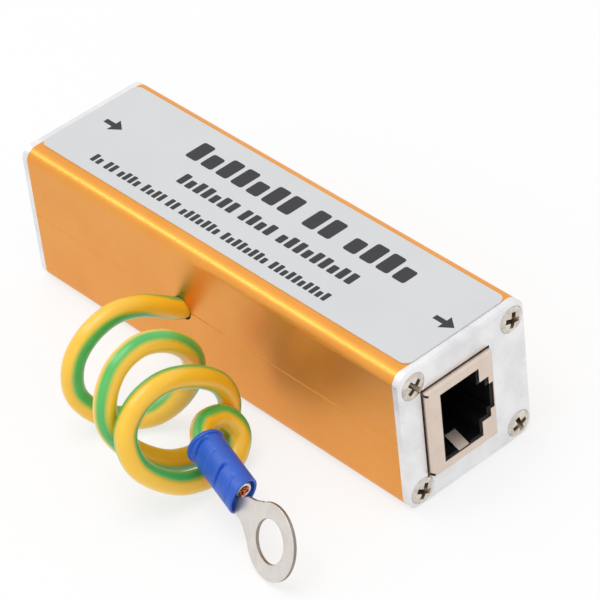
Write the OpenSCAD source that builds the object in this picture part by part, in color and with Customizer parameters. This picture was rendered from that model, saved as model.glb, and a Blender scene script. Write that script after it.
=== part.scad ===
// Inline surge protector for one network cable: a split extruded housing, two end
// plates with shielded 8-way jacks, a board of gas tubes between them, and an earth
// wire with a ring terminal. X runs from the IN end to the OUT end, the wire leaves
// on the -Y side, and Z is up. The origin is the centre of the housing's footprint.

/* [Housing] */
// Length of the extruded half shells
body_len = 82; // [70:1:110]
// Width and height of the housing's square section
body_side = 25; // [24.6:0.2:30]
// Radius of the housing's long edges
edge_r = 2; // [1:0.25:2.5]
// Thickness of the extruded wall
wall = 1.5; // [1.3:0.1:1.8]
// Height of the lip that locks the halves along the seam
lip_h = 0.8; // [0.5:0.1:1.2]
// Chamfer that shows as the seam line
seam_chamfer = 0.15; // [0.05:0.05:0.3]
// Play round the seam lip
lip_play = 0.1; // [0.05:0.05:0.15]

/* [End plates] */
// Thickness of an end plate
plate_t = 1.5; // [1.3:0.1:2.5]
// Bevel round an end plate's outer face
plate_bevel = 0.4; // [0.2:0.1:0.7]
// Distance of each screw from the two nearest sides
screw_inset = 2.7; // [2.6:0.1:3.2]
// Diameter of the plate screws
screw_d = 2.5; // [2:0.1:2.8]
// Diameter of the countersunk screw heads
screw_head_d = 4.5; // [4:0.1:4.6]
// Overall length of a plate screw
screw_len = 8; // [5:0.5:12]

/* [Jacks] */
// Width of the jack shield, across its eight contacts
shield_w = 15.8; // [15.4:0.1:16.4]
// Height of the jack shield, from its contact side to the board
shield_h = 13.2; // [12.9:0.1:13.6]
// Depth of the jack shield
shield_len = 16; // [15:0.5:18]
// Thickness of the shield's sheet
sheet_t = 0.3; // [0.2:0.05:0.4]
// How far a jack stands out of its end plate
jack_proud = 1; // [0.4:0.1:1.6]
// Distance from the wire side of the housing to the shields
jack_inset = 4.1; // [3.6:0.1:4.4]
// Width of the plug cavity
cavity_w = 11.9; // [11.8:0.05:12.1]
// Height of the plug cavity before its latch channel
cavity_h = 7; // [6.7:0.1:7.2]
// Depth of the plug cavity behind the shield's face
cavity_len = 12.5; // [12:0.1:13]
// Distance between neighbouring contacts
contact_pitch = 1.02; // [0.9:0.01:1.1]
// Side of the square contact wire
contact_t = 0.35; // [0.25:0.05:0.4]

/* [Board] */
// Thickness of the circuit board
board_t = 1.6; // [1.2:0.1:2]
// Room between the jacks and the row of parts on the board
part_margin = 1.5; // [1:0.25:3]
// Diameter of a gas discharge tube
tube_d = 5; // [4:0.25:5.5]
// Length of a gas discharge tube
tube_len = 7.6; // [6:0.2:8.4]

/* [Earth wire] */
// Outer diameter of the insulated earth wire
wire_d = 3.5; // [3:0.1:3.8]
// Diameter of the wire's copper core
core_d = 2.1; // [1.6:0.1:2.2]
// Distance of the wire's hole from mid-length, as a share of the half shells' length
wire_share = 0.073; // [0.04:0.001:0.09]
// Outer diameter of the coiled part of the wire
coil_d = 23; // [20:0.5:23]
// Length of the coiled part of the wire
coil_len = 18.4; // [12:0.2:18.4]

/* [Ring terminal] */
// Outer diameter of the terminal's ring
ring_d = 11.5; // [10:0.5:12]
// Diameter of the hole in the ring
eye_d = 6.6; // [5.2:0.1:7]
// Thickness of the terminal's metal
ring_t = 0.6; // [0.5:0.1:0.9]
// Length of the insulating sleeve
sleeve_len = 12; // [10:0.5:14]
// Outer diameter of the insulating sleeve
sleeve_d = 5.5; // [5:0.1:6]
// Distance from the sleeve's front to the middle of the ring
ring_reach = 9.4; // [8:0.1:12]

/* [Label] */
// Width of the label on the top face
label_w = 20; // [14:0.5:20]
// Distance that the label lies off centre
label_shift = 0.5; // [0:0.1:0.5]
// Distance from the label's ends to the ends of the housing
label_margin = 0; // [0:0.1:3]
// Radius of the label's corners
label_r = 1.4; // [0.5:0.1:3]
// Thickness of the label
label_t = 0.15; // [0.1:0.05:0.3]

/* [Hidden] */
$fn = 48;
// Play between parts that only locate each other
fit_gap = 0.1;
// Play between a screw head and its countersink
seat_gap = 0.05;
// Play round a shank or a lead in its hole
hole_gap = 0.1;
// Play between a jack and its end plate
panel_gap = 0.25;
// Distance that a cutting shape runs past the face it cuts
past = 1;

mid_z = body_side / 2;
plate_x = body_len / 2;
face_x = plate_x + plate_t;
front_x = face_x + jack_proud;

// Seam lip, on the inner half of the wall
lip_t = wall / 2;
// Screw channels in the corners
channel_d = screw_d + hole_gap;
channel_wall = 0.9;
screw_off = mid_z - screw_inset;

// Board, held on edge in grooves of both halves
board_y = -body_side / 2 + jack_inset + shield_h;
board_far_y = board_y + board_t;
board_h = body_side - 2 * wall - 0.4;
board_len = body_len - 1;
groove_rib_t = 1;
groove_rib_h = 1.6;

// Wire hole and the parts in a row along the board
wire_x = -wire_share * body_len;
wire_hole_d = wire_d + 0.6;
wire_bare_y = 1;
tube_steps = [-2, -1, 1, 2];
// The row of tubes fills what the jacks and the margins leave, with the wire in its middle
row_half = front_x - shield_len - part_margin + wire_x;
part_pitch = (row_half - tube_d / 2) / 2;
tube_y = board_y - tube_d / 2 - 0.3;
tube_lead_d = 0.8;
tube_lead_pitch = 3.3;
diode_off = 6.6;
diode_size = [3.6, 2.2, 4.4];
diode_tab_t = 0.3;
lead_past = 1.2;

// Socket outline in the shield's face, measured from the contact side
socket_w = 12.6;
socket_from = 2.5;
socket_h = 7.7;
step_w = [7.5, 4.7];
step_h = [9.5, 10.3];
finger_w = 2.1;
finger_from = 5.5;
finger_len = 3.2;
finger_lift = 1.2;
finger_turn = 0.8;
slit_w = 0.45;
shield_r = 0.5;

// Moulded insulator in the shield
cavity_from = 2.9;
latch_w = [6.6, 4.1];
latch_h = [8.6, 9.4];
insulator_gap = 0.05;
contact_slot_w = contact_t + 0.2;
contact_top = 1.2;
contact_front = 2;
contact_reach = 9.5;
contact_drop = 5.2;
contact_rows = [0.7, 3.24];
peg_d = 3;
peg_off = 5.72;
peg_back = 7.5;
tab_w = 1.2;
tab_back = 9.5;
pin_hole_d = 0.9;

// Terminal in its own frame: the wire enters along X and the ring lies across Z.
// Its place is measured from the wire's hole along X, the housing's side and the floor.
terminal_at = [22.1, -15.6, 8.6];
terminal_turn = [68, 9, -13];
collar_d = sleeve_d + 0.7;
collar_len = 1.7;
wire_grip = 3;
barrel_d = 3.6;
barrel_end_d = 3;
barrel_recess = 0.6;
// The sleeve's wide mouth, which leaves the flat neck free
mouth_d = sleeve_d - 0.6;
mouth_len = 1.7;
// Width of the flat neck at the barrel, and in front of the mouth
neck_w = 2.4;
shoulder_w = 4.2;
// Step from the barrel's outside down to the face of the flat neck
neck_step = 0.6;
crimp_depth = 0.35;
crimp_r = 5;

// Coiled stretch, a round bundle that lies on the floor beside the housing, and the
// route from it to the terminal: one open turn, then a small one. Both are measured
// from the same place as the terminal.
coil_gap = 4.5;
coil_at = [14.4, -coil_gap - coil_d / 2, coil_d / 2];
wire_sides = 8;

tail_route = [
    [14.4, -24.1, 10.5], [16, -24.1, 10.5], [16.4, -20.5, 5.8], [16.7, -15.5, 2.4],
    [16.8, -10.9, 1.8], [16.7, -6.9, 4], [16.6, -6.1, 8.2], [16.8, -8.7, 13.2],
    [17, -13.1, 16.8], [17.2, -17.9, 18.6], [17.4, -22.9, 17.8], [18.2, -26.1, 14.6],
    [19.8, -25.9, 9.4], [21.6, -21.5, 4.4], [22.3, -16.7, 2.3], [22.2, -12.3, 1.8],
    [21.4, -8.9, 3], [20.2, -7.7, 5.2], [19.1, -8.9, 7.5], [19, -11.7, 8.8],
    [20, -14.1, 9], [22.1, -15.6, 8.6], [24.98, -16.27, 8.13]
];

// Turns a drawing of the housing's section so that it is extruded along X
module along_x(from_x, length) {
    translate([from_x, 0, 0]) rotate([90, 0, 90]) linear_extrude(height = length) children();
}

// Mirrors a piece of the OUT end to the IN end, so that both jacks stand on the board's side
module at_in_end() {
    mirror([1, 0, 0]) children();
}

// Square with true round corners, drawn without hull so that its arcs stay arcs
module soft_square(side, radius) {
    square([side - 2 * radius, side], center = true);
    square([side, side - 2 * radius], center = true);
    for (sx = [-1, 1], sy = [-1, 1])
        translate([sx * (side / 2 - radius), sy * (side / 2 - radius)]) circle(r = radius);
}

// Section of one half shell, drawn about the middle of the housing
module half_section() {
    difference() {
        union() {
            difference() {
                soft_square(body_side, edge_r);
                square(body_side - 2 * wall, center = true);
            }
            for (sy = [-1, 1]) {
                intersection() {
                    soft_square(body_side, edge_r);
                    translate([sy * screw_off, screw_off]) circle(d = channel_d + 2 * channel_wall);
                }
                groove_ribs(sy);
            }
        }
        for (sy = [-1, 1])
            translate([sy * screw_off, screw_off]) circle(d = channel_d);
        translate([-body_side, -body_side]) square([2 * body_side, body_side]);
        // Rebate on one side for the other half's lip
        translate([body_side / 2 - wall - past, -past])
            square([lip_t + lip_play + past, lip_h + lip_play + past]);
        for (sy = [-1, 1])
            translate([sy * body_side / 2, 0]) rotate(45) square(seam_chamfer * sqrt(2), center = true);
    }
    // Lip on the other side, tied into the wall above the seam
    translate([-body_side / 2 + wall - lip_t, -lip_h]) square([lip_t, 2 * lip_h]);
}

// Pair of ribs that hold one long edge of the board
module groove_ribs(sy) {
    inner = body_side / 2 - wall;
    low_y = board_y - fit_gap - groove_rib_t;
    high_y = board_far_y + fit_gap;
    for (y = [low_y, high_y])
        translate([sy > 0 ? y : -y - groove_rib_t, inner - groove_rib_h])
            square([groove_rib_t, groove_rib_h + wall / 2]);
}

module wire_hole() {
    translate([wire_x, -body_side / 2 + wall / 2, mid_z]) rotate([90, 0, 0])
        cylinder(d = wire_hole_d, h = 2 * wall + 2 * past, center = true);
}

// Both halves are lengths of one extrusion, turned over against each other
module half_shell() {
    along_x(-body_len / 2, body_len) half_section();
}

module upper_shell() {
    color("goldenrod") difference() {
        translate([0, 0, mid_z]) half_shell();
        wire_hole();
    }
}

module lower_shell() {
    color("goldenrod") difference() {
        translate([0, 0, mid_z]) rotate([180, 0, 0]) half_shell();
        wire_hole();
    }
}

module at_screws() {
    for (sy = [-1, 1], sz = [-1, 1])
        translate([face_x, sy * screw_off, mid_z + sz * screw_off]) rotate([0, -90, 0]) children();
}

// Countersunk hole, from the outer face inwards
module screw_hole() {
    sink_d = screw_head_d + 2 * seat_gap;
    hole_d = screw_d + 2 * hole_gap;
    rotate_extrude() polygon([
        [0, -past], [sink_d / 2, -past], [sink_d / 2, 0],
        [hole_d / 2, (sink_d - hole_d) / 2], [hole_d / 2, plate_t + past], [0, plate_t + past]
    ]);
}

module end_plate() {
    shield_mid_y = -body_side / 2 + jack_inset + shield_h / 2;
    color("gainsboro") difference() {
        translate([0, 0, mid_z]) union() {
            along_x(plate_x, plate_t - plate_bevel) soft_square(body_side, edge_r);
            hull() {
                along_x(face_x - plate_bevel - 0.01, 0.01)
                    soft_square(body_side, edge_r, $fn = 32);
                along_x(face_x - 0.01, 0.01)
                    soft_square(body_side - 2 * plate_bevel, edge_r - plate_bevel / 2, $fn = 32);
            }
        }
        along_x(plate_x - past, plate_t + 2 * past) translate([shield_mid_y, mid_z])
            square([shield_h + 2 * panel_gap, shield_w + 2 * panel_gap], center = true);
        at_screws() screw_hole();
    }
}

// Countersunk screw with a plain cross recess
module plate_screw() {
    recess_w = 0.7;
    recess_len = 0.55 * screw_head_d;
    sink = (screw_head_d - screw_d) / 2;
    difference() {
        rotate_extrude() polygon([
            [0, 0], [screw_head_d / 2, 0], [screw_head_d / 2, seat_gap / 2],
            [screw_d / 2, sink + seat_gap / 2], [screw_d / 2, screw_len - 0.6],
            [0.5, screw_len], [0, screw_len]
        ]);
        for (turn = [0, 90])
            rotate(turn) cube([recess_len, recess_w, 2 * sink], center = true);
    }
}

module plate_screws() {
    color("silver") at_screws() plate_screw();
}

module label() {
    length = body_len - 2 * label_margin;
    color("lightgray") translate([0, label_shift, body_side]) linear_extrude(height = label_t) union() {
        square([length - 2 * label_r, label_w], center = true);
        square([length, label_w - 2 * label_r], center = true);
        for (sx = [-1, 1], sy = [-1, 1])
            translate([sx * (length / 2 - label_r), sy * (label_w / 2 - label_r)]) circle(r = label_r);
    }
}

// Frame of the OUT jack: origin at the middle of the shield's contact side, in the
// plane of its face, with X out of the socket, Y towards the board and Z across
module at_jack() {
    translate([front_x, -body_side / 2 + jack_inset, mid_z]) children();
}

// Stepped outline of the plug cavity and its latch channel
module socket_outline(from_y, width, height, steps_w, steps_h) {
    translate([from_y, -width / 2]) square([height, width]);
    for (i = [0, 1])
        translate([from_y, -steps_w[i] / 2]) square([steps_h[i], steps_w[i]]);
}

// Sheet finger that is folded in from the socket's edge to touch the plug
module plug_finger() {
    root = socket_w / 2 + sheet_t;
    inner = socket_w / 2 - finger_lift;
    tip_x = -finger_len - finger_turn;
    translate([0, finger_from + finger_w, 0]) rotate([90, 0, 0]) linear_extrude(height = finger_w)
        polygon([
            [0, root], [-sheet_t, root], [-finger_len, inner + sheet_t], [tip_x, inner + finger_turn],
            [tip_x, inner + finger_turn - sheet_t], [-finger_len, inner], [-sheet_t, root - sheet_t],
            [0, root - sheet_t]
        ]);
}

// Folded shield: face, back and three sides, open towards the board
module jack_shield() {
    color("tan") at_jack() {
        difference() {
            hull() {
                translate([-shield_len, 0, -shield_w / 2])
                    cube([shield_len - shield_r, shield_h, shield_w]);
                translate([-shield_r - 0.01, shield_r / 2, -shield_w / 2 + shield_r / 2])
                    cube([shield_r, shield_h - shield_r, shield_w - shield_r]);
            }
            translate([-shield_len + sheet_t, sheet_t, -shield_w / 2 + sheet_t])
                cube([shield_len - 2 * sheet_t, shield_h, shield_w - 2 * sheet_t]);
            along_x(-sheet_t - past, sheet_t + 2 * past)
                socket_outline(socket_from, socket_w, socket_h, step_w, step_h);
            // Slits where the folded sides meet the face, open at its corners
            for (sz = [-1, 1])
                translate([-jack_proud, -past, sz * (shield_w / 2 - 1.3 * slit_w) - slit_w / 2])
                    cube([jack_proud + past, past + slit_w, slit_w]);
        }
        plug_finger();
        mirror([0, 0, 1]) plug_finger();
        for (sz = [-1, 1])
            translate([-tab_back, shield_h - sheet_t, sz * (shield_w / 2 - sheet_t / 2) - sheet_t / 2])
                cube([tab_w, board_t + sheet_t + lead_past, sheet_t]);
    }
}

// Offset of a contact's pin from the shield's back, in two staggered rows
function contact_back(i) = shield_len - contact_rows[i % 2] - sheet_t;
function contact_z(i) = (i - 3.5) * contact_pitch;

module jack_insulator() {
    inner_w = shield_w - 2 * sheet_t - 2 * insulator_gap;
    block_front = sheet_t + insulator_gap;
    block_len = shield_len - 2 * block_front;
    color("dimgray") at_jack() difference() {
        union() {
            translate([-shield_len + block_front, block_front, -inner_w / 2])
                cube([block_len, shield_h - block_front, inner_w]);
            for (sz = [-1, 1])
                translate([-peg_back, shield_h - past, sz * peg_off]) rotate([-90, 0, 0])
                    cylinder(d = peg_d, h = board_t + lead_past + past);
        }
        along_x(-block_front - cavity_len, cavity_len + past)
            socket_outline(cavity_from, cavity_w, cavity_h, latch_w, latch_h);
        // Relief for the shield's plug fingers
        for (sz = [-1, 1])
            translate([-finger_len - 2 * finger_turn, finger_from - 0.2, sz * (cavity_w / 2) - 0.9])
                cube([finger_len + 2 * finger_turn + past, finger_w + 0.4, 1.8]);
        // Comb of slots for the contacts: along the top, into the cavity and down the back
        for (i = [0:7]) {
            slot_x = -contact_back(i) - contact_t / 2 - 0.1;
            translate([slot_x, contact_top - 0.1, contact_z(i) - contact_slot_w / 2])
                cube([-slot_x - contact_front + 0.1, cavity_from + past - contact_top, contact_slot_w]);
            translate([slot_x, contact_top - 0.1, contact_z(i) - contact_slot_w / 2])
                cube([contact_t + 0.2, shield_h + past, contact_slot_w]);
        }
    }
}

// Spring contacts: each is one bent wire, from its pin in the board to its free end
module jack_contacts() {
    pin_y = shield_h + board_t + lead_past;
    color("gold") at_jack() for (i = [0:7]) {
        back = -contact_back(i);
        front = -contact_front;
        translate([0, 0, contact_z(i) - contact_t / 2]) linear_extrude(height = contact_t) polygon([
            [back - contact_t / 2, pin_y], [back - contact_t / 2, contact_top],
            [front, contact_top], [front, contact_top + 1.6 * contact_t],
            [-contact_reach, contact_drop], [-contact_reach - 0.1, contact_drop - contact_t],
            [front - 3.4 * contact_t, contact_top + contact_t],
            [back + contact_t / 2, contact_top + contact_t], [back + contact_t / 2, pin_y]
        ]);
    }
}

function tube_x(k) = wire_x + part_pitch * tube_steps[k];

module board_holes_for_jack() {
    at_jack() {
        for (i = [0:7])
            translate([-contact_back(i), 0, contact_z(i)]) rotate([-90, 0, 0])
                cylinder(d = pin_hole_d, h = 2 * body_side, $fn = 24);
        for (sz = [-1, 1]) {
            translate([-peg_back, 0, sz * peg_off]) rotate([-90, 0, 0])
                cylinder(d = peg_d + 2 * hole_gap, h = 2 * body_side);
            translate([-tab_back + tab_w / 2, 0, sz * (shield_w / 2 - sheet_t / 2)]) rotate([-90, 0, 0])
                cylinder(d = tab_w + 0.4, h = 2 * body_side, $fn = 24);
        }
    }
}

module circuit_board() {
    color("darkgreen") difference() {
        translate([-board_len / 2, board_y, mid_z - board_h / 2]) cube([board_len, board_t, board_h]);
        board_holes_for_jack();
        at_in_end() board_holes_for_jack();
        for (k = [0:3], s = [-1, 0, 1])
            translate([tube_x(k), 0, mid_z + s * tube_lead_pitch]) rotate([-90, 0, 0])
                cylinder(d = tube_lead_d + 2 * hole_gap, h = body_side, $fn = 24);
        translate([wire_x, 0, mid_z]) rotate([-90, 0, 0])
            cylinder(d = core_d + 2 * hole_gap, h = body_side);
    }
}

// Three-pole gas discharge tube: two end caps and a middle ring on a ceramic body
module gas_tube(k) {
    cap_len = 1;
    ring_len = 1.2;
    body_d = tube_d - 0.3;
    color("gainsboro") translate([tube_x(k), tube_y, mid_z]) {
        cylinder(d = body_d, h = tube_len - 0.2, center = true);
        cylinder(d = tube_d, h = ring_len, center = true);
        for (s = [-1, 1])
            translate([0, 0, s * (tube_len - cap_len) / 2])
                cylinder(d = tube_d, h = cap_len, center = true);
        for (s = [-1, 0, 1])
            translate([0, 0, s * tube_lead_pitch]) rotate([-90, 0, 0])
                cylinder(d = tube_lead_d, h = board_far_y - tube_y + lead_past, $fn = 24);
    }
}

// Moulded clamp diodes above or below the gas tubes, on bent tabs
module clamp_diodes(sz) {
    color("dimgray") for (k = [0:3])
        translate([tube_x(k), board_y, mid_z + sz * diode_off]) {
            translate([-diode_size[0] / 2, -diode_size[1] - diode_tab_t, -diode_size[2] / 2 + 0.8])
                cube([diode_size[0], diode_size[1], diode_size[2] - 1.6]);
            translate([-diode_size[0] / 3, -diode_tab_t, -diode_size[2] / 2])
                cube([diode_size[0] / 1.5, diode_tab_t, diode_size[2]]);
        }
}

// Stretch of the earth wire inside the housing, bared where it passes the board
module earth_wire_inner() {
    color("yellow") translate([wire_x, 0, mid_z]) rotate([-90, 0, 0]) {
        translate([0, 0, -body_side / 2]) cylinder(d = wire_d, h = body_side / 2 + wire_bare_y);
        cylinder(d = core_d, h = board_far_y + lead_past);
    }
}

module earth_solder_joint() {
    color("silver") translate([wire_x, board_far_y, mid_z]) rotate([-90, 0, 0]) difference() {
        cylinder(d1 = core_d + 2.2, d2 = core_d + 0.6, h = lead_past * 0.8);
        translate([0, 0, -past]) cylinder(d = core_d, h = lead_past + 2 * past);
    }
}

// Direction of a route at one of its points, halfway between the steps before and after it
function step_dir(r, i) = (r[i + 1] - r[i]) / norm(r[i + 1] - r[i]);
function route_dir(r, i) =
    let (last = len(r) - 2, d = step_dir(r, max(i - 1, 0)) + step_dir(r, min(i, last))) d / norm(d);

// Carries one side direction along a route, so that the tube's corners don't twist
function next_side(side, dir) = let (s = side - (side * dir) * dir) s / norm(s);
function ring_sides(r, i = 0, out = []) =
    i == len(r) ? out
    : ring_sides(r, i + 1, concat(out, [next_side(i == 0 ? [0, 0.1, 1] : out[i - 1], route_dir(r, i))]));

module wire_tube(route, diameter) {
    n = wire_sides;
    last = len(route) - 1;
    side = ring_sides(route);
    points = [
        for (i = [0:last], k = [0:n - 1])
            let (other = cross(route_dir(route, i), side[i]), a = 360 * k / n)
                route[i] + diameter / 2 * (cos(a) * side[i] + sin(a) * other)
    ];
    walls = [
        for (i = [0:last - 1], k = [0:n - 1], half = [0, 1])
            let (a = i * n + k, b = i * n + (k + 1) % n)
                half == 0 ? [a, a + n, b + n] : [a, b + n, b]
    ];
    start_cap = [[for (k = [0:n - 1]) k]];
    end_cap = [[for (k = [n - 1:-1:0]) last * n + k]];
    polyhedron(points = points, faces = concat(walls, start_cap, end_cap), convexity = 6);
}

// Frame of everything outside: the wire's hole along X, the housing's side and the floor
module at_cord() {
    translate([wire_x, -body_side / 2, 0]) children();
}

module earth_wire_lead() {
    color("gold") at_cord() wire_tube([[0, 0, mid_z], [0, -coil_gap, mid_z]], wire_d);
}

// Round bundle of open turns, twelve-sided so that it has a flat to lie on
module earth_wire_coil() {
    corner_r = coil_d / 2 / cos(15);
    color("gold") at_cord() translate(coil_at) rotate([0, -90, 0]) rotate(15)
        cylinder(r = corner_r, h = coil_len, $fn = 12);
}

module earth_wire_tail() {
    color("gold") at_cord() wire_tube(tail_route, wire_d);
}

module at_terminal() {
    at_cord() translate(terminal_at) rotate(terminal_turn) children();
}

// Moulded sleeve: a collar where the wire goes in, and a straight crimped body
module terminal_sleeve() {
    grip_d = wire_d + 2 * fit_gap;
    bore_d = barrel_d + 2 * seat_gap;
    color("royalblue") at_terminal() difference() {
        rotate([0, 90, 0]) rotate_extrude() polygon([
            [grip_d / 2, 0], [collar_d / 2 - 0.3, 0], [collar_d / 2, 0.3], [collar_d / 2, collar_len - 0.3],
            [sleeve_d / 2, collar_len + 0.2], [sleeve_d / 2, sleeve_len], [mouth_d / 2, sleeve_len],
            [mouth_d / 2, sleeve_len - mouth_len], [bore_d / 2, sleeve_len - mouth_len - 0.6],
            [bore_d / 2, wire_grip + 0.4], [grip_d / 2, wire_grip]
        ]);
        for (sz = [-1, 1])
            translate([sleeve_len / 2 + 0.6, 0, sz * (sleeve_d / 2 + crimp_r - crimp_depth)])
                rotate([90, 0, 0]) cylinder(r = crimp_r, h = 2 * sleeve_d, center = true);
    }
}

// One stamping: the rolled barrel in the sleeve, the flat neck and the ring
module terminal_ring() {
    ring_x = sleeve_len + ring_reach;
    barrel_from = wire_grip + 0.5;
    barrel_to = sleeve_len - barrel_recess;
    neck_from = barrel_to - 0.2;
    bore_r = core_d / 2 + seat_gap;
    plate_z = barrel_d / 2 - neck_step - ring_t;
    half_neck = [
        [neck_from, -0.1], [neck_from, neck_w / 2], [sleeve_len - 0.1, shoulder_w / 2],
        [sleeve_len + 1.7, shoulder_w / 2 + 0.15], [ring_x - 0.42 * ring_d, 0.27 * ring_d],
        [ring_x, ring_d / 4], [ring_x, -0.1]
    ];
    color("silver") at_terminal() difference() {
        union() {
            rotate([0, 90, 0]) rotate_extrude() polygon([
                [bore_r, barrel_from], [barrel_d / 2, barrel_from], [barrel_d / 2, neck_from - 1],
                [barrel_end_d / 2, neck_from], [barrel_end_d / 2, barrel_to], [bore_r, barrel_to]
            ]);
            translate([0, 0, plate_z]) linear_extrude(height = ring_t)
                for (side = [0, 1])
                    mirror([0, side]) polygon(half_neck);
            translate([ring_x, 0, plate_z]) cylinder(d = ring_d, h = ring_t);
        }
        translate([ring_x, 0, plate_z - past]) cylinder(d = eye_d, h = ring_t + 2 * past);
    }
}

// Copper strands, bared in the barrel and ending just inside it
module terminal_strands() {
    color("chocolate") at_terminal() translate([wire_grip, 0, 0]) rotate([0, 90, 0])
        cylinder(d = core_d, h = sleeve_len - barrel_recess - 0.3 - wire_grip);
}

upper_shell();
lower_shell();
at_in_end() end_plate();  // in_end_plate
end_plate();  // out_end_plate
at_in_end() plate_screws();  // in_plate_screws
plate_screws();  // out_plate_screws
label();
at_in_end() jack_shield();  // in_jack_shield
jack_shield();  // out_jack_shield
at_in_end() jack_insulator();  // in_jack_insulator
jack_insulator();  // out_jack_insulator
at_in_end() jack_contacts();  // in_jack_contacts
jack_contacts();  // out_jack_contacts
circuit_board();
gas_tube(0);  // gas_tube_1
gas_tube(1);  // gas_tube_2
gas_tube(2);  // gas_tube_3
gas_tube(3);  // gas_tube_4
clamp_diodes(1);  // upper_clamp_diodes
clamp_diodes(-1);  // lower_clamp_diodes
earth_wire_inner();
earth_solder_joint();
earth_wire_lead();
earth_wire_coil();
earth_wire_tail();
terminal_sleeve();
terminal_ring();
terminal_strands();
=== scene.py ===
import math

import bmesh
import bpy
from mathutils import Euler, Matrix, Vector


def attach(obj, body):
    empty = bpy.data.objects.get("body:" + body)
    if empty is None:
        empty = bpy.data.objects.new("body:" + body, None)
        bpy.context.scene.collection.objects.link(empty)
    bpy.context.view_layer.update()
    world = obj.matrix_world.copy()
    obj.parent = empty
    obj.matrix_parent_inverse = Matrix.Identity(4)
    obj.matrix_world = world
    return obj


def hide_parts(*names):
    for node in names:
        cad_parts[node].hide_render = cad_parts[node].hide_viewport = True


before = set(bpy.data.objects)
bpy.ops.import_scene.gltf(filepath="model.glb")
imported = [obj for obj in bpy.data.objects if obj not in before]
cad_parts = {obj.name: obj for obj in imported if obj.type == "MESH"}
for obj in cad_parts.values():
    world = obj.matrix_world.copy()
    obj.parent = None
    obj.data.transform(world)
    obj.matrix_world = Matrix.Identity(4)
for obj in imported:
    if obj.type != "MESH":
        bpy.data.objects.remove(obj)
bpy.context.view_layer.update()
MM = 0.001
scene = bpy.context.scene


# View from above the OUT end, on the side of the earth wire. The camera's place,
# turn and focal length come from a fit to the housing's corners, and the wire's
# stripes are laid out as they are seen from here.
camera_azimuth, camera_elevation, camera_roll = 51.7211, 38.4581, 6.8436
camera_place = Vector((0.310559, -0.239616, 0.320373))
azimuth, elevation, roll = (math.radians(a) for a in (camera_azimuth, camera_elevation, camera_roll))
to_camera = Vector((
    math.sin(azimuth) * math.cos(elevation), -math.cos(azimuth) * math.cos(elevation), math.sin(elevation)
))
level_right = (-to_camera).cross(Vector((0, 0, 1))).normalized()
level_down = (-to_camera).cross(level_right)
camera_right = level_right * math.cos(roll) + level_down * math.sin(roll)
camera_down = level_down * math.cos(roll) - level_right * math.sin(roll)
camera = bpy.data.objects.new("camera", bpy.data.cameras.new("camera"))
camera.data.sensor_fit = "HORIZONTAL"
camera.data.sensor_width = 36
camera.data.lens = 197.62
camera.data.clip_start = 0.01
camera.location = camera_place
camera.rotation_euler = Matrix((camera_right, -camera_down, to_camera)).transposed().to_euler()
scene.collection.objects.link(camera)
scene.camera = camera


# Half shells: two lengths of one aluminium extrusion, turned over against each
# other and locked by a lip along the seam. The gold anodising keeps the metal's
# satin grain, which runs along the length, and its colour varies in slow patches.
def new_effect(name, inputs, outputs):
    tree = bpy.data.node_groups.new(name, "ShaderNodeTree")
    for label, kind, value in inputs:
        socket = tree.interface.new_socket(label, in_out="INPUT", socket_type=kind)
        socket.default_value = value
    for label, kind in outputs:
        tree.interface.new_socket(label, in_out="OUTPUT", socket_type=kind)
    return tree, tree.nodes.new("NodeGroupInput"), tree.nodes.new("NodeGroupOutput")


def patches(tree, vector, scale, detail=4.0, roughness=0.55):
    noise = tree.nodes.new("ShaderNodeTexNoise")
    noise.inputs["Detail"].default_value = detail
    noise.inputs["Roughness"].default_value = roughness
    tree.links.new(vector, noise.inputs["Vector"])
    if isinstance(scale, float):
        noise.inputs["Scale"].default_value = scale
    else:
        tree.links.new(scale, noise.inputs["Scale"])
    return noise.outputs["Fac"]


def calculate(tree, operation, *terms):
    node = tree.nodes.new("ShaderNodeMath")
    node.operation = operation
    for socket, term in zip(node.inputs, terms):
        if isinstance(term, float):
            socket.default_value = term
        else:
            tree.links.new(term, socket)
    return node.outputs["Value"]


# Grain makes fine bumps and a roughness that varies with them. A stretch below 1
# draws the grain out along X, and the edge radius softens the light on sharp edges.
grain, given, made = new_effect(
    "grain",
    [("Scale", "NodeSocketFloat", 4000.0), ("Stretch", "NodeSocketFloat", 1.0),
     ("Roughness", "NodeSocketFloat", 0.4), ("Variation", "NodeSocketFloat", 0.1),
     ("Bump", "NodeSocketFloat", 0.1), ("Edge Radius", "NodeSocketFloat", 0.0)],
    [("Roughness", "NodeSocketFloat"), ("Normal", "NodeSocketVector")],
)
place = grain.nodes.new("ShaderNodeTexCoord")
draw_out = grain.nodes.new("ShaderNodeCombineXYZ")
draw_out.inputs["Y"].default_value = 1.0
draw_out.inputs["Z"].default_value = 1.0
grain.links.new(given.outputs["Stretch"], draw_out.inputs["X"])
stretch = grain.nodes.new("ShaderNodeVectorMath")
stretch.operation = "MULTIPLY"
grain.links.new(place.outputs["Object"], stretch.inputs[0])
grain.links.new(draw_out.outputs["Vector"], stretch.inputs[1])
speckle = patches(grain, stretch.outputs["Vector"], given.outputs["Scale"])
centred = calculate(grain, "SUBTRACT", speckle, 0.5)
varied = calculate(grain, "MULTIPLY_ADD", centred, given.outputs["Variation"], given.outputs["Roughness"])
soften = grain.nodes.new("ShaderNodeBevel")
soften.samples = 4
grain.links.new(given.outputs["Edge Radius"], soften.inputs["Radius"])
bump = grain.nodes.new("ShaderNodeBump")
bump.inputs["Distance"].default_value = 0.05 * MM
grain.links.new(given.outputs["Bump"], bump.inputs["Strength"])
grain.links.new(speckle, bump.inputs["Height"])
grain.links.new(soften.outputs["Normal"], bump.inputs["Normal"])
grain.links.new(varied, made.inputs["Roughness"])
grain.links.new(bump.outputs["Normal"], made.inputs["Normal"])

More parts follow.
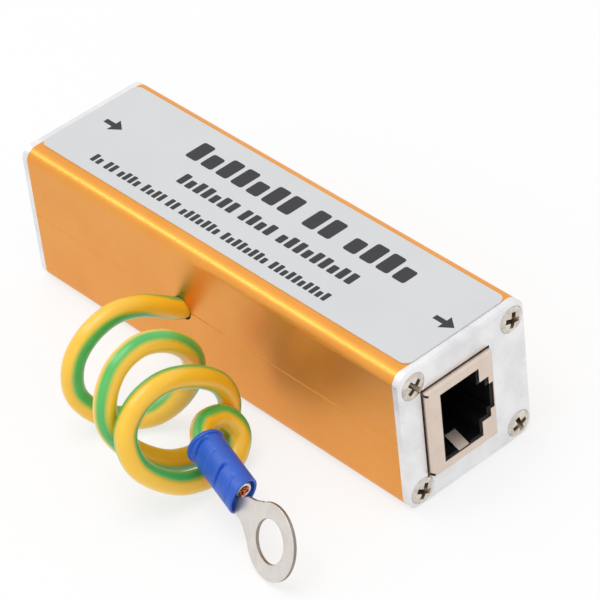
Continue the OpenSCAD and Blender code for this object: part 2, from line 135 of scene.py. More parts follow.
# Mottle mixes two colours in soft patches.
mottle, given, made = new_effect(
    "mottle",
    [("Colour", "NodeSocketColor", (0.8, 0.8, 0.8, 1)),
     ("Patch Colour", "NodeSocketColor", (0.6, 0.6, 0.6, 1)),
     ("Scale", "NodeSocketFloat", 200.0), ("Amount", "NodeSocketFloat", 0.5)],
    [("Colour", "NodeSocketColor")],
)
place = mottle.nodes.new("ShaderNodeTexCoord")
narrow = mottle.nodes.new("ShaderNodeMapRange")
narrow.inputs["From Min"].default_value = 0.38
narrow.inputs["From Max"].default_value = 0.68
cloudy = patches(mottle, place.outputs["Object"], given.outputs["Scale"], 5.0, 0.6)
mottle.links.new(cloudy, narrow.inputs["Value"])
blend = mottle.nodes.new("ShaderNodeMix")
blend.data_type = "RGBA"
portion = calculate(mottle, "MULTIPLY", narrow.outputs["Result"], given.outputs["Amount"])
mottle.links.new(portion, blend.inputs["Factor"])
mottle.links.new(given.outputs["Colour"], blend.inputs["A"])
mottle.links.new(given.outputs["Patch Colour"], blend.inputs["B"])
mottle.links.new(blend.outputs["Result"], made.inputs["Colour"])


# Colours are given as they show on screen, from 0 to 255.
def screen_colour(*levels):
    return tuple(((c / 255 + 0.055) / 1.055) ** 2.4 if c > 10 else c / 255 / 12.92 for c in levels) + (1.0,)


# A finish has two colours in soft patches over a fine grain. The grain's values are
# given by its inputs' names.
def new_finish(name, colour, patch_colour, metallic=0.0, patch_scale=200.0, patch_amount=0.5, **grain_values):
    material = bpy.data.materials.new(name)
    material.use_nodes = True
    tree = material.node_tree
    shader = tree.nodes["Principled BSDF"]
    shader.inputs["Metallic"].default_value = metallic
    tint = tree.nodes.new("ShaderNodeGroup")
    tint.node_tree = mottle
    tint.inputs["Colour"].default_value = screen_colour(*colour)
    tint.inputs["Patch Colour"].default_value = screen_colour(*patch_colour)
    tint.inputs["Scale"].default_value = patch_scale
    tint.inputs["Amount"].default_value = patch_amount
    tree.links.new(tint.outputs["Colour"], shader.inputs["Base Color"])
    surface = tree.nodes.new("ShaderNodeGroup")
    surface.node_tree = grain
    for label, amount in grain_values.items():
        surface.inputs[label.replace("_", " ").title()].default_value = amount
    tree.links.new(surface.outputs["Roughness"], shader.inputs["Roughness"])
    tree.links.new(surface.outputs["Normal"], shader.inputs["Normal"])
    return material


def dress(material, *nodes):
    for node in nodes:
        for material_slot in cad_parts[node].material_slots:
            material_slot.material = material


gold = new_finish("gold_anodising", (236, 163, 77), (226, 147, 59), metallic=1.0, patch_scale=60.0,
                  scale=9000.0, stretch=0.25, roughness=0.38, variation=0.16, bump=0.2, edge_radius=0.12 * MM)
dress(gold, "upper_shell", "lower_shell")


# Circuit board: glass laminate under green solder resist, held on edge in grooves
# of both half shells. The tubes' metal is tin plated, the solder joint is bright
# tin too, and the clamp diodes are moulded in the same black as the jacks.
board_resist = new_finish("board_resist", (20, 92, 56), (16, 78, 48), patch_scale=500.0, scale=3000.0,
                          roughness=0.4)
dress(board_resist, "circuit_board")
tin = new_finish("tin_plate", (224, 218, 212), (202, 196, 189), metallic=0.75, patch_scale=420.0,
                 patch_amount=0.6, scale=5200.0, roughness=0.38, variation=0.2, bump=0.15)
dress(tin, "gas_tube_1", "gas_tube_2", "gas_tube_3", "gas_tube_4", "earth_solder_joint")
black_plastic = new_finish("black_plastic", (12, 12, 13), (18, 18, 19), scale=6000.0, roughness=0.5,
                           variation=0.15, bump=0.3, edge_radius=0.1 * MM)
black_plastic.node_tree.nodes["Principled BSDF"].inputs["Specular IOR Level"].default_value = 0.3
dress(black_plastic, "upper_clamp_diodes", "lower_clamp_diodes")


# Jacks: a black moulded insulator with a comb for eight gilt spring contacts, in a
# folded shield of tinned sheet. They are soldered to the board and stand a little
# out of the end plates.
dress(black_plastic, "in_jack_insulator", "out_jack_insulator")
gilt = new_finish("gilt_contact", (236, 190, 104), (220, 170, 86), metallic=1.0, scale=6000.0, roughness=0.25)
dress(gilt, "in_jack_contacts", "out_jack_contacts")
shield_sheet = new_finish("shield_sheet", (224, 208, 194), (210, 193, 180), metallic=1.0, patch_scale=300.0,
                          scale=7000.0, stretch=0.4, roughness=0.36, variation=0.14, bump=0.12,
                          edge_radius=0.08 * MM)
dress(shield_sheet, "in_jack_shield", "out_jack_shield")


# End plates: punched aluminium with a bevelled rim, left natural, so the rolled
# metal shows soft cloudy patches.
plate_metal = new_finish("plate_metal", (240, 239, 240), (212, 212, 215), metallic=1.0, patch_scale=230.0,
                         patch_amount=0.6, scale=2500.0, roughness=0.36, variation=0.3, bump=0.25,
                         edge_radius=0.05 * MM)
dress(plate_metal, "in_end_plate", "out_end_plate")


# Plate screws: plated steel, with countersunk heads that are a little domed and a
# pressed cross recess with tapered wings. Four hold each end plate to the screw
# channels, and each one stopped at its own angle.
def turned(outline, steps, closed=False):
    blank = bmesh.new()
    corners = [blank.verts.new((x, radius, 0)) for x, radius in outline]
    edges = [blank.edges.new(pair) for pair in zip(corners, corners[1:])]
    if closed:
        edges.append(blank.edges.new((corners[-1], corners[0])))
    bmesh.ops.spin(blank, geom=corners + edges, cent=(0, 0, 0), axis=(1, 0, 0), angle=2 * math.pi,
                   steps=steps, use_merge=True)
    bmesh.ops.remove_doubles(blank, verts=blank.verts[:], dist=1e-4)
    bmesh.ops.recalc_face_normals(blank, faces=blank.faces[:])
    return blank


def add_copy(target, source, matrix):
    made_mesh = bpy.data.meshes.new("copy")
    source.to_mesh(made_mesh)
    before = len(target.verts)
    target.from_mesh(made_mesh)
    bpy.data.meshes.remove(made_mesh)
    target.verts.ensure_lookup_table()
    bmesh.ops.transform(target, matrix=matrix, verts=target.verts[before:])


def add_piece(name, piece_mesh, record_slot, *materials, covers=(), sharp_angle=35):
    mesh = bpy.data.meshes.new(name)
    piece_mesh.to_mesh(mesh)
    piece_mesh.free()
    for material in materials:
        mesh.materials.append(material)
    mesh.shade_smooth()
    mesh.set_sharp_from_angle(angle=math.radians(sharp_angle))
    piece = bpy.data.objects.new(name, mesh)
    scene.collection.objects.link(piece)
    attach(piece, "root")
    if covers:
        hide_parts(*covers)
    return piece


# The screw lies along X with its head outwards, and the plate's face is at 0.
dome_height, dome_radius, head_radius, head_depth = 0.3, 2.0925, 2.18, 1.16
shank_radius, screw_length, tip_length, tip_radius = 1.25, 8.0, 0.6, 0.5
dome_radii = [0.225 * k for k in range(10)]
screw_outline = [(dome_height * (1 - (radius / dome_radius) ** 2), radius) for radius in dome_radii]
screw_outline += [(-0.02, head_radius - 0.06), (-0.12, head_radius - 0.01), (-0.3, head_radius)]
screw_outline += [(-head_depth, shank_radius), (tip_length - screw_length, shank_radius)]
screw_outline += [(-screw_length, tip_radius), (-screw_length, 0.0)]
plate_screw = turned(screw_outline, steps=64)

# The recess is cut out of the dome along its four wings' sides, then pushed in. A
# cut or a sweep needs its faces' edges and corners named too, each of them once.
def each_once(parts):
    return list(dict.fromkeys(parts))


wing_reach, wing_half_width, recess_depth, recess_taper = 1.35, 0.4, 1.2, 0.35
recess_floor = dome_height - recess_depth


def in_wings(place):
    short, long = sorted((abs(place.y), abs(place.z)))
    return short < wing_half_width and long < wing_reach


for side in (Vector((0, 0, 1)), Vector((0, 1, 0))):
    for distance in (-wing_reach, -wing_half_width, wing_half_width, wing_reach):
        head = [f for f in plate_screw.faces if f.normal.x > 0.3 and f.calc_center_median().x > -0.05]
        head_corners = each_once(v for f in head for v in f.verts)
        head_edges = each_once(e for f in head for e in f.edges)
        bmesh.ops.bisect_plane(plate_screw, geom=head + head_corners + head_edges, dist=1e-5,
                               plane_co=side * distance, plane_no=side)
recess = []
for face in plate_screw.faces:
    middle = face.calc_center_median()
    if face.normal.x > 0.3 and middle.x > 0 and in_wings(middle):
        recess.append(face)
sunk = bmesh.ops.extrude_face_region(plate_screw, geom=recess)["geom"]
bmesh.ops.delete(plate_screw, geom=[f for f in recess if f.is_valid], context="FACES")
for corner in (v for v in sunk if isinstance(v, bmesh.types.BMVert)):
    corner.co = (recess_floor, corner.co.y * recess_taper, corner.co.z * recess_taper)
bmesh.ops.recalc_face_normals(plate_screw, faces=plate_screw.faces[:])
# The recess's walls and floor take the second finish, which is painted shade: darker, browner metal standing
# in for the shade that falls in the recess.
for face in plate_screw.faces:
    middle = face.calc_center_median()
    on_wall = in_wings(middle) and middle.x > -1.0 and face.normal.x < 0.9
    on_floor = abs(middle.x - recess_floor) < 1e-3
    face.material_index = int(on_wall or on_floor)

screw_metal = new_finish("screw_metal", (224, 217, 208), (176, 166, 152), metallic=1.0, patch_scale=900.0,
                         patch_amount=0.8, scale=8000.0, roughness=0.2, variation=0.15, bump=0.1)
# Painted shade for the screw recess: a darker, browner copy of the screw metal.
recess_painted_shade = new_finish("screw_recess_painted_shade", (158, 142, 124), (112, 98, 82), metallic=1.0, patch_scale=900.0,
                          scale=8000.0, roughness=0.4, variation=0.2, bump=0.2)
plate_face, screw_offset, mid_height = 42.5, 9.8, 12.5
for end, end_name, turns in ((0, "out", (62, 18, 40, 75)), (math.pi, "in", (10, 48, 80, 30))):
    screws_mesh = bmesh.new()
    for (side_y, side_z), turn in zip(((-1, -1), (1, -1), (-1, 1), (1, 1)), turns):
        seat = Matrix.Translation((plate_face, side_y * screw_offset, side_z * screw_offset))
        upright = Matrix.Translation((0, 0, mid_height)) @ Matrix.Rotation(end, 4, "Z")
        add_copy(screws_mesh, plate_screw,
                 Matrix.Scale(MM, 4) @ upright @ seat @ Matrix.Rotation(math.radians(turn), 4, "X"))
    add_piece(end_name + "_screws", screws_mesh, "screw_steel", screw_metal, recess_painted_shade,
              covers=(end_name + "_plate_screws",), sharp_angle=40)
plate_screw.free()


# Label: matt silver-grey film with round corners, stuck along the top face. Its
# print is thin dark ink: rows of plain blocks in three weights, and an arrow at
# each end that points the way the line runs.
label_film = new_finish("label_film", (212, 213, 214), (205, 206, 207), metallic=0.35, patch_scale=40.0,
                        patch_amount=0.6, scale=12000.0, roughness=0.42, variation=0.08, bump=0.05)
dress(label_film, "label")
ink = new_finish("label_ink", (26, 26, 30), (34, 34, 38), patch_scale=500.0, scale=9000.0, roughness=0.5)
print_mesh = bmesh.new()
label_top, ink_thickness = 25.15, 0.02
# A low block's height is a share of its row's, and the round corners and the space
# between groups are shares of a block's width.
low_block, round_corner, group_space = 0.74, 0.16, 0.8
for row_start, row_low, height, block, gap, groups in (
    (-21.0, 3.0, 4.3, 2.6, 0.87, (7, 2, 4)),
    (-17.0, -2.3, 2.5, 1.3, 0.55, (7, 4, 9)),
    (-31.6, -7.3, 1.8, 0.85, 0.4, (2, 2, 4, 4, 2, 7, 8, 10)),
):
    x = row_start
    row_blocks = []
    for group, blocks in enumerate(groups):
        for number in range(blocks):
            tall = height * (low_block if (number * 7 + group * 5) % 3 == 1 else 1.0)
            middle = Matrix.Translation((x + block / 2, row_low + tall / 2, label_top + ink_thickness / 2))
            block_shape = middle @ Matrix.Diagonal((block, tall, ink_thickness, 1))
            row_blocks += bmesh.ops.create_cube(print_mesh, size=1, matrix=block_shape)["verts"]
            x += block + gap
        x += block * group_space
    row_edges = each_once(e for v in row_blocks for e in v.link_edges)
    upright = [e for e in row_edges if abs(e.verts[0].co.z - e.verts[1].co.z) > ink_thickness / 2]
    bmesh.ops.bevel(print_mesh, geom=upright, offset=round_corner * block, offset_type="OFFSET", segments=2,
                    profile=0.5, affect="EDGES", material=-1)
arrow_length, head_start, head_half, shaft_half = 4.0, 2.0, 1.45, 0.45
arrow_outline = [(0, -shaft_half), (head_start, -shaft_half), (head_start, -head_half), (arrow_length, 0),
                 (head_start, head_half), (head_start, shaft_half), (0, shaft_half)]
for arrow_x, arrow_y in ((-37.6, 1.0), (36.2, 0.8)):
    arrow_corners = [print_mesh.verts.new((arrow_x + x, arrow_y + y, label_top)) for x, y in arrow_outline]
    arrow = print_mesh.faces.new(arrow_corners)
    raised = bmesh.ops.extrude_face_region(print_mesh, geom=[arrow], use_keep_orig=True)["geom"]
    raised_corners = [v for v in raised if isinstance(v, bmesh.types.BMVert)]
    bmesh.ops.translate(print_mesh, vec=(0, 0, ink_thickness), verts=raised_corners)
bmesh.ops.recalc_face_normals(print_mesh, faces=print_mesh.faces[:])
bmesh.ops.scale(print_mesh, vec=(MM, MM, MM), verts=print_mesh.verts[:])
add_piece("label_print", print_mesh, "label_film", ink, sharp_angle=30)


# Earth wire: stranded copper in a stiff yellow sheath with a broad green stripe and
# a narrower one opposite. It comes out of a hole on the seam and lies beside the
# housing in two large open turns, a third, and a small last turn into the terminal.
wire_diameter = 3.5 * MM
# Each point has its place and the broad stripe's angle, counted from the outside of
# the bend towards the camera.
wire_points = [
    (-6, -11.4, 12.5, 206), (-6.02, -12.7, 12.6, 204), (-6.5, -16.1, 14.7, 188), (-7.2, -19.4, 16.4, 168),
    (-7.8, -23.8, 17.3, 153), (-8.1, -28.7, 15.9, 145), (-8.2, -32, 12.4, 138), (-7.6, -32.8, 7.4, 134),
    (-5.5, -30.4, 3.3, 140), (-1.9, -26.2, 1.9, 145), (0.2, -23.9, 2.6, 150), (2.8, -21.3, 5.8, 168),
    (5.1, -20.1, 10.8, 198), (6.7, -21.4, 16.4, 226), (7.6, -25.8, 21.7, 238), (7.5, -30.5, 23.7, 246),
    (7.6, -34.9, 22.8, 251), (8, -38, 19.5, 254), (8.4, -38.8, 14.6, 252), (9.1, -36, 8.5, 240),
    (10.4, -30.6, 3.4, 220), (11.1, -25.1, 1.9, 205), (11, -20.5, 2.9, 192), (10.6, -18.4, 6.8, 182),
    (10.7, -19.8, 11.5, 180), (11.1, -25, 16.4, 190), (11.2, -30.3, 18.6, 198), (11.4, -35.3, 17.9, 197),
    (12.1, -38.6, 14.7, 189), (13.8, -38.5, 9.5, 162), (15.6, -33.7, 4.2, 142), (16.2, -28.8, 2.3, 140),
    (16.1, -23.6, 1.8, 155), (14.9, -20.6, 3.7, 185), (14, -20.2, 5.4, 202), (12.9, -21.5, 7.6, 222),
    (13.1, -24.9, 8.9, 240), (14.2, -26.7, 8.9, 250), (16.1, -28.1, 8.6, 255), (18.98, -28.77, 8.13, 258),
]
# The route is a smooth curve through the points. Each stretch also heeds the point
# before it and the point after it.
steps_between = 10
last_point = len(wire_points) - 1
route, stripe_angles = [], []
for i in range(last_point):
    around = [wire_points[k] for k in (max(i - 1, 0), i, i + 1, min(i + 2, last_point))]
    a, b, c, d = (Vector(p[:3]) * MM for p in around)
    knots = [0.0]
    for one, other in ((a, b), (b, c), (c, d)):
        knots.append(knots[-1] + max(math.sqrt((other - one).length), 1e-4))
    k0, k1, k2, k3 = knots
    for step in range(steps_between + (1 if i == last_point - 1 else 0)):
        share = step / steps_between
        t = k1 + (k2 - k1) * share
        ab = a * (k1 - t) / (k1 - k0) + b * (t - k0) / (k1 - k0)
        bc = b * (k2 - t) / (k2 - k1) + c * (t - k1) / (k2 - k1)
        cd = c * (k3 - t) / (k3 - k2) + d * (t - k2) / (k3 - k2)
        abc = ab * (k2 - t) / (k2 - k0) + bc * (t - k0) / (k2 - k0)
        bcd = bc * (k3 - t) / (k3 - k1) + cd * (t - k1) / (k3 - k1)
        route.append(abc * (k2 - t) / (k2 - k1) + bcd * (t - k1) / (k2 - k1))
        stripe_angles.append(around[1][3] * (1 - share) + around[2][3] * share)
# Smoothing pulls the route in and lets it out again by turns, so its loops stay as
# wide as they were laid.
smooth_passes, pull_in, let_out = 60, 0.5, -0.52
for i in range(2 * smooth_passes):
    pull = pull_in if i % 2 == 0 else let_out
    inner = [p + ((q + o) / 2 - p) * pull for o, p, q in zip(route, route[1:], route[2:])]
    route = [route[0]] + inner + [route[-1]]
for _ in range(smooth_passes):
    inner = [sum(three) / 3 for three in zip(stripe_angles, stripe_angles[1:], stripe_angles[2:])]
    stripe_angles = [stripe_angles[0]] + inner + [stripe_angles[-1]]
along = [0.0]
for one, other in zip(route, route[1:]):
    along.append(along[-1] + (other - one).length)


# The wire's round section stands across the route and is drawn along it, step by
# step. Its UV map counts once round from the stripe's middle, and metres along.
def section_at(i):
    heading = (route[min(i + 1, len(route) - 1)] - route[max(i - 1, 0)]).normalized()
    outward = heading.cross(to_camera).normalized()
    towards = outward.cross(heading)
    across_route = Matrix((outward, towards, -heading)).transposed().to_4x4()
    stripe_turn = Matrix.Rotation(math.radians(stripe_angles[i]), 4, "Z")
    return Matrix.Translation(route[i]) @ across_route @ stripe_turn


wire_mesh = bmesh.new()
stripe_map = wire_mesh.loops.layers.uv.new("UVMap")
rim = bmesh.ops.create_circle(wire_mesh, cap_ends=True, radius=wire_diameter / 2, segments=32)["verts"]
stripe_place = {v: (math.atan2(v.co.y, v.co.x) / (2 * math.pi) % 1, 0.0) for v in rim}
rim_edges = wire_mesh.edges[:]
bmesh.ops.transform(wire_mesh, matrix=section_at(0), verts=rim)
for i in range(1, len(route)):
    drawn = bmesh.ops.extrude_edge_only(wire_mesh, edges=rim_edges)["geom"]
    new_rim = [v for v in drawn if isinstance(v, bmesh.types.BMVert)]
    rim_edges = [e for e in drawn if isinstance(e, bmesh.types.BMEdge)]
    new_edges = set(rim_edges)
    for corner in new_rim:
        joined = [e.other_vert(corner) for e in corner.link_edges if e not in new_edges]
        behind = next(v for v in joined if v in stripe_place)
        stripe_place[corner] = (stripe_place[behind][0], along[i])
    bmesh.ops.transform(wire_mesh, matrix=section_at(i) @ section_at(i - 1).inverted(), verts=new_rim)
bmesh.ops.edgeloop_fill(wire_mesh, edges=rim_edges)
bmesh.ops.recalc_face_normals(wire_mesh, faces=wire_mesh.faces[:])
for face in wire_mesh.faces:
    turns_round = [stripe_place[loop.vert][0] for loop in face.loops]
    for loop, share in zip(face.loops, turns_round):
        wraps = len(turns_round) == 4 and max(turns_round) - share > 0.5
        loop[stripe_map].uv = (share + (1 if wraps else 0), stripe_place[loop.vert][1])

sheath = dict(colour=(255, 202, 40), patch_colour=(250, 190, 34), patch_scale=180.0, patch_amount=0.6,
              scale=2600.0, roughness=0.36, variation=0.1, bump=0.12)
yellow_skin = new_finish("yellow_sheath", **sheath)
dress(yellow_skin, "earth_wire_inner")
striped_skin = new_finish("striped_sheath", **sheath)
tree = striped_skin.node_tree
shader = tree.nodes["Principled BSDF"]
shader.inputs["Coat Weight"].default_value = 0.7
shader.inputs["Coat Roughness"].default_value = 0.28
yellow = shader.inputs["Base Color"].links[0].from_socket
stripe_uv = tree.nodes.new("ShaderNodeUVMap")
stripe_uv.uv_map = "UVMap"
split = tree.nodes.new("ShaderNodeSeparateXYZ")
tree.links.new(stripe_uv.outputs["UV"], split.inputs["Vector"])
wander_place = tree.nodes.new("ShaderNodeCombineXYZ")
tree.links.new(split.outputs["Y"], wander_place.inputs["Y"])
wander = patches(tree, wander_place.outputs["Vector"], 90.0, 1.0)
# The stripes wander a little along the wire. Their middles, half widths, wander and
# soft edges are shares of the way round it.
wander_width, edge_softness = 0.05, 0.034
round_wire = calculate(tree, "MULTIPLY_ADD", wander, wander_width, split.outputs["X"])
stripes = []
for middle, half_width in ((0.025, 0.118), (0.525, 0.078)):
    from_middle = calculate(tree, "PINGPONG", calculate(tree, "SUBTRACT", round_wire, middle), 0.5)
    inside = tree.nodes.new("ShaderNodeMapRange")
    inside.inputs["From Min"].default_value = half_width + edge_softness
    inside.inputs["From Max"].default_value = half_width - edge_softness
    tree.links.new(from_middle, inside.inputs["Value"])
    stripes.append(inside.outputs["Result"])
green = tree.nodes.new("ShaderNodeGroup")
green.node_tree = mottle
green.inputs["Colour"].default_value = screen_colour(74, 190, 86)
green.inputs["Patch Colour"].default_value = screen_colour(60, 168, 72)
two_colours = tree.nodes.new("ShaderNodeMix")
two_colours.data_type = "RGBA"
tree.links.new(calculate(tree, "MAXIMUM", *stripes), two_colours.inputs["Factor"])
tree.links.new(yellow, two_colours.inputs["A"])
tree.links.new(green.outputs["Colour"], two_colours.inputs["B"])
tree.links.new(two_colours.outputs["Result"], shader.inputs["Base Color"])
earth_wire = add_piece("earth_wire", wire_mesh, "wire_insulation", striped_skin,
                       covers=("earth_wire_lead", "earth_wire_coil", "earth_wire_tail"), sharp_angle=60)


# Terminal sleeve: soft blue plastic over the barrel, with a rolled collar where the
# wire goes in. The crimping jaws left it a little flat, with two grooves, a faint
# line and a ledge that lean forwards, and its mouth is cut slightly askew.
def part_way(amount, start, end):
    return min(max((amount - start) / (end - start), 0.0), 1.0)


# The terminal's own frame has its length along X, from the wire to the ring.
terminal_place, terminal_turn = Vector((16.114, -28.1, 8.6)) * MM, (68, 9, -13)
terminal_lie = Euler([math.radians(a) for a in terminal_turn]).to_matrix().to_4x4()
terminal_frame = Matrix.Translation(terminal_place) @ terminal_lie @ Matrix.Scale(MM, 4)
sleeve_start, sleeve_end, sleeve_radius, sleeve_bore = 0.3, 12.0, 2.8, 1.86
collar_radius, mouth_bore, mouth_start = 3.08, 2.36, 9.9
# The wall has many corners along its length, so that it can take the jaws' marks.
wall_start, wall_step = 1.06, 0.07
sleeve_outline = [(sleeve_start, sleeve_bore), (sleeve_start, collar_radius - 0.33)]
sleeve_outline += [(0.4, collar_radius - 0.12), (0.6, collar_radius), (1.0, collar_radius - 0.06)]
sleeve_outline += [(wall_start + wall_step * k, sleeve_radius) for k in range(154)]
sleeve_outline += [(11.87, sleeve_radius), (11.96, 2.74), (sleeve_end, 2.64), (11.98, 2.5), (11.9, 2.4)]
sleeve_outline += [(11.7, mouth_bore), (mouth_start + 0.5, mouth_bore - 0.02), (mouth_start, sleeve_bore)]
sleeve_mesh = turned(sleeve_outline, steps=96, closed=True)
# The jaws pressed the outside along two opposite stretches of its round, and a press
# fades out at both ends of its stretch. Each has its place along the sleeve at the
# start and end of its lean, its depth and its half width.
presses = ((1.46, 2.04, 0.6, 0.26), (7.22, 7.85, 0.55, 0.24), (4.2, 5.0, 0.1, 0.16), (9.78, 10.9, 0.16, 0.22))
jaw_angle, fade_start, fade_end, lean_start, lean_end = 70, 0.66, 0.86, 30, 95
outside_from, wider, flatter = 2.55, 0.06, 0.05
askew_start, askew_depth, askew_angle, cut_back = 9.8, 0.85, 107, 0.15
for corner in sleeve_mesh.verts:
    x, radius = corner.co.x, math.hypot(corner.co.y, corner.co.z)
    angle = math.degrees(math.atan2(corner.co.z, corner.co.y))
    facing = part_way(abs(math.cos(math.radians(angle - jaw_angle))), fade_start, fade_end)
    climb = angle if -28 < angle < 152 else (angle + 180) % 360
    share = part_way(climb, lean_start, lean_end)
    share = share * share * (3 - 2 * share)
    if radius > outside_from:
        for start_x, end_x, depth, half_width in presses:
            away = x - start_x - (end_x - start_x) * share
            radius -= depth * facing * math.exp(-(away / half_width) ** 2)
    oval = part_way(x, 1.0, 2.5)
    corner.co.y = radius * math.cos(math.radians(angle)) * (1 + wider * oval)
    corner.co.z = radius * math.sin(math.radians(angle)) * (1 - flatter * oval)
    askew = askew_depth * math.cos(math.radians(angle - askew_angle)) - cut_back
    corner.co.x += part_way(x, askew_start, sleeve_end) * askew
bmesh.ops.transform(sleeve_mesh, matrix=terminal_frame, verts=sleeve_mesh.verts[:])
sleeve_blue = new_finish("sleeve_blue", (38, 94, 202), (30, 82, 186), patch_scale=260.0, scale=2200.0,
                         roughness=0.4, variation=0.15, bump=0.2)
sleeve = add_piece("crimped_sleeve", sleeve_mesh, "sleeve_blue", sleeve_blue, covers=("terminal_sleeve",),
                   sharp_angle=45)


# Ring terminal: one tin-plated stamping. Its flat ring and neck have softly broken
# edges, the neck steps down to the barrel, and the barrel is rolled round the
# strands inside the sleeve.
ring_middle, ring_radius, eye_radius, eye_shift, metal, ring_low = 21.4, 5.75, 3.3, 0.1, 0.6, 0.6
neck_start, neck_bend, neck_slope, edge_break = 11.2, 12.2, 0.45, 0.1
far_side = [(neck_start, 0.2), (neck_bend, 0.4), (12.6, 0.8), (13.3, 1.5), (14.3, 2.15), (15.4, 2.65),
            (16.2, 3.2), (16.75, 3.62)]
near_side = [(16.75, -3.62), (16.2, -3.28), (15.5, -2.85), (14.7, -2.45), (13.9, -2.3), (12.5, -2.32),
             (12.3, -2.2), (neck_bend, -0.9), (neck_start, -0.7)]
shoulder, shoulder_steps = math.radians(138), 40
ring_edge = []
for k in range(2 * shoulder_steps + 1):
    turn = shoulder - k * shoulder / shoulder_steps
    ring_edge.append((ring_middle + ring_radius * math.cos(turn), ring_radius * math.sin(turn)))
ring_mesh = bmesh.new()
corners = [ring_mesh.verts.new((x, y, 0)) for x, y in far_side + ring_edge + near_side]
for one, other in zip(corners, corners[1:] + corners[:1]):
    ring_mesh.edges.new((one, other))
eye_place = Matrix.Translation((ring_middle - eye_shift, 0, 0))
bmesh.ops.create_circle(ring_mesh, radius=eye_radius, segments=64, matrix=eye_place)
bmesh.ops.triangle_fill(ring_mesh, use_beauty=True, edges=ring_mesh.edges[:])
flat = ring_mesh.faces[:] + ring_mesh.edges[:] + ring_mesh.verts[:]
bmesh.ops.bisect_plane(ring_mesh, geom=flat, dist=1e-5, plane_co=(neck_bend, 0, 0), plane_no=(1, 0, 0))
raised = bmesh.ops.extrude_face_region(ring_mesh, geom=ring_mesh.faces[:], use_keep_orig=True)["geom"]
raised_corners = [v for v in raised if isinstance(v, bmesh.types.BMVert)]
bmesh.ops.translate(ring_mesh, vec=(0, 0, metal), verts=raised_corners)
bmesh.ops.recalc_face_normals(ring_mesh, faces=ring_mesh.faces[:])
for face in ring_mesh.faces:
    face.material_index = int(abs(face.normal.z) < 0.5)
level_edges = [e for e in ring_mesh.edges if abs(e.verts[0].co.z - e.verts[1].co.z) < 1e-6]
rims = [e for e in level_edges if len(e.link_faces) == 2 and e.calc_face_angle() > math.radians(60)]
bmesh.ops.bevel(ring_mesh, geom=rims, offset=edge_break, offset_type="OFFSET", segments=3, profile=0.5,
                affect="EDGES", material=-1)
bmesh.ops.translate(ring_mesh, vec=(0, 0, ring_low), verts=ring_mesh.verts[:])
for corner in ring_mesh.verts:
    corner.co.z -= neck_slope * max(0.0, neck_bend - corner.co.x)

# The barrel narrows towards its end, which sits a little to one side of the neck
# and is pressed a little flat.
barrel_start, barrel_end, barrel_radius, barrel_bore = 3.5, 11.5, 1.8, 1.0
waist_start, waist_end, waist_radius, waist_bore = 9.9, 10.5, 1.45, 0.85
push_start, push_end, barrel_push, barrel_flat = 9.4, 11.2, 0.8, 0.12
barrel_outline = [(barrel_start, barrel_bore), (barrel_start, barrel_radius - 0.1)]
barrel_outline += [(barrel_start + 0.1, barrel_radius), (waist_start, barrel_radius)]
barrel_outline += [(waist_end, waist_radius)]
barrel_outline += [(barrel_end - 0.14, 1.35), (barrel_end - 0.04, 1.3), (barrel_end, 1.2), (barrel_end, 0.95)]
barrel_outline += [(barrel_end - 0.05, 0.88), (barrel_end - 0.2, waist_bore), (waist_end, waist_bore)]
barrel_outline += [(waist_start, barrel_bore)]
barrel = turned(barrel_outline, steps=64, closed=True)
for corner in barrel.verts:
    pushed = part_way(corner.co.x, push_start, push_end)
    corner.co.y += barrel_push * pushed
    corner.co.z *= 1 - barrel_flat * pushed
add_copy(ring_mesh, barrel, Matrix.Identity(4))
barrel.free()
bmesh.ops.transform(ring_mesh, matrix=terminal_frame, verts=ring_mesh.verts[:])
sheared_edge = new_finish("sheared_edge", (160, 152, 144), (118, 110, 102), metallic=1.0, patch_scale=900.0,
                          scale=5200.0, roughness=0.45, variation=0.2, bump=0.2)
stamped_ring = add_piece("stamped_ring", ring_mesh, "tinned_metal", tin, sheared_edge,
                         covers=("terminal_ring",), sharp_angle=30)


# Copper strands: the wire's bared end, a twisted bundle of bright copper gripped in
# the barrel, each strand cut a little unevenly.
strands_mesh = bmesh.new()
strands_start, strand_radius, strands_push = 9.2, 0.17, 0.75
twist_each_mm, twist_steps, mean_cut, uneven_cut = math.radians(16), 6, 0.05, 0.16
lays = [(0.0, 0.0)] + [(0.33, 72 * k) for k in range(5)] + [(0.66, 36 * k + 12) for k in range(10)]
for number, (out, angle) in enumerate(lays):
    length = barrel_end + mean_cut + uneven_cut * math.sin(2.7 * number) - strands_start
    around_middle = Matrix.Translation((strands_start, 0, 0)) @ Matrix.Rotation(math.radians(angle), 4, "X")
    strand_place = around_middle @ Matrix.Translation((0, out, 0)) @ Matrix.Rotation(math.pi / 2, 4, "Y")
    strand = bmesh.ops.create_circle(strands_mesh, cap_ends=True, radius=strand_radius, segments=10,
                                     matrix=strand_place)["verts"]
    strand_edges = each_once(e for v in strand for e in v.link_edges)
    strand_faces = each_once(f for v in strand for f in v.link_faces)
    bmesh.ops.spin(strands_mesh, geom=strand + strand_edges + strand_faces, cent=(0, 0, 0), axis=(1, 0, 0),
                   dvec=(length / twist_steps, 0, 0), angle=twist_each_mm * length, steps=twist_steps)
bmesh.ops.recalc_face_normals(strands_mesh, faces=strands_mesh.faces[:])
for corner in strands_mesh.verts:
    corner.co.y += strands_push * part_way(corner.co.x, push_start, push_end)
bmesh.ops.transform(strands_mesh, matrix=terminal_frame, verts=strands_mesh.verts[:])
copper = new_finish("copper_strand", (204, 120, 78), (150, 78, 48), metallic=1.0, patch_scale=900.0,
                    roughness=0.3)
strands = add_piece("copper_strands", strands_mesh, "copper", copper, covers=("terminal_strands",))


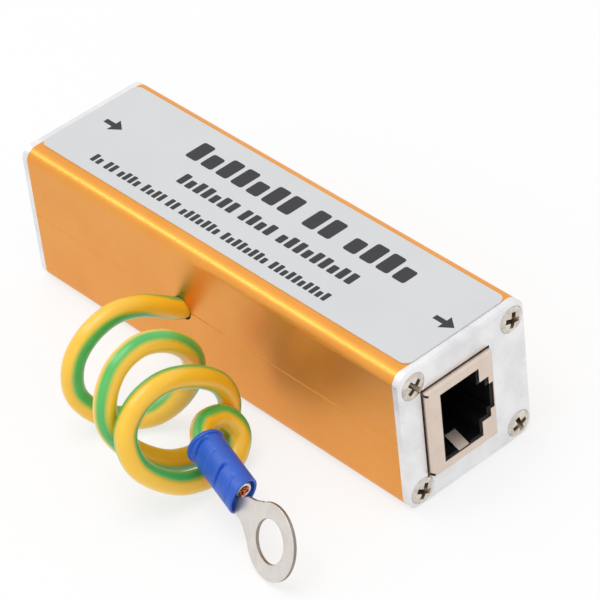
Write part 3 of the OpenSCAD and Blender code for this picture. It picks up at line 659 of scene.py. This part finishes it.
# Floor, surround and lamps: a plain pale floor that keeps a faint shadow, a white
# surround and soft lamps. What the camera and the metal see of the floor is lifted
# towards white, and they see the surround as plain white.
def seen_directly(tree):
    ray = tree.nodes.new("ShaderNodeLightPath")
    mirrored = calculate(tree, "MAXIMUM", ray.outputs["Is Glossy Ray"], ray.outputs["Is Transmission Ray"])
    return calculate(tree, "MAXIMUM", ray.outputs["Is Camera Ray"], mirrored)


floor_material = bpy.data.materials.new("floor")
floor_material.use_nodes = True
tree = floor_material.node_tree
white_share = 0.72
floor_shader = tree.nodes["Principled BSDF"]
floor_shader.inputs["Base Color"].default_value = (0.96, 0.96, 0.96, 1)
floor_shader.inputs["Roughness"].default_value = 0.9
floor_shader.inputs["Specular IOR Level"].default_value = 0.1
floor_white = tree.nodes.new("ShaderNodeEmission")
floor_white.inputs["Color"].default_value = (1, 1, 1, 1)
lift = tree.nodes.new("ShaderNodeMixShader")
tree.links.new(calculate(tree, "MULTIPLY", seen_directly(tree), white_share), lift.inputs["Fac"])
tree.links.new(floor_shader.outputs["BSDF"], lift.inputs[1])
tree.links.new(floor_white.outputs["Emission"], lift.inputs[2])
tree.links.new(lift.outputs["Shader"], tree.nodes["Material Output"].inputs["Surface"])
floor_mesh = bmesh.new()
bmesh.ops.create_grid(floor_mesh, x_segments=1, y_segments=1, size=1.5)
floor_data = bpy.data.meshes.new("floor")
floor_mesh.to_mesh(floor_data)
floor_mesh.free()
floor_data.materials.append(floor_material)
floor = bpy.data.objects.new("floor", floor_data)
scene.collection.objects.link(floor)

world = bpy.data.worlds.new("surround")
scene.world = world
world.use_nodes = True
tree = world.node_tree
surround = tree.nodes["Background"]
surround.inputs["Color"].default_value = (0.98, 0.99, 1.0, 1)
surround.inputs["Strength"].default_value = 0.72
plain_white = tree.nodes.new("ShaderNodeBackground")
plain_white.inputs["Color"].default_value = (1, 1, 1, 1)
choose = tree.nodes.new("ShaderNodeMixShader")
tree.links.new(seen_directly(tree), choose.inputs["Fac"])
tree.links.new(surround.outputs["Background"], choose.inputs[1])
tree.links.new(plain_white.outputs["Background"], choose.inputs[2])
tree.links.new(choose.outputs["Shader"], tree.nodes["World Output"].inputs["Surface"])

# A wide lamp hangs overhead and a weaker one stands on the wire's side. A small one
# past the IN end draws the bright line on round edges and lights nothing else.
for lamp_name, watts, width, lamp_place, aim, lights_all in (
    ("overhead", 1.3, 0.45, (-0.05, -0.1, 0.6), (0, -0.01, 0), True),
    ("wire_side", 0.2, 0.4, (0.1, -0.55, 0.35), (0, -0.02, 0.01), True),
    ("edge_line", 0.28, 0.14, (-0.35, -0.17, 0.42), (0, -0.01, 0.02), False),
):
    lamp = bpy.data.objects.new(lamp_name, bpy.data.lights.new(lamp_name, "AREA"))
    lamp.data.energy = watts
    lamp.data.shape = "DISK"
    lamp.data.size = width
    lamp.location = lamp_place
    lamp.rotation_euler = (Vector(aim) - Vector(lamp_place)).to_track_quat("-Z", "Y").to_euler()
    lamp.visible_diffuse = lights_all
    scene.collection.objects.link(lamp)
scene.view_settings.view_transform = "Standard"
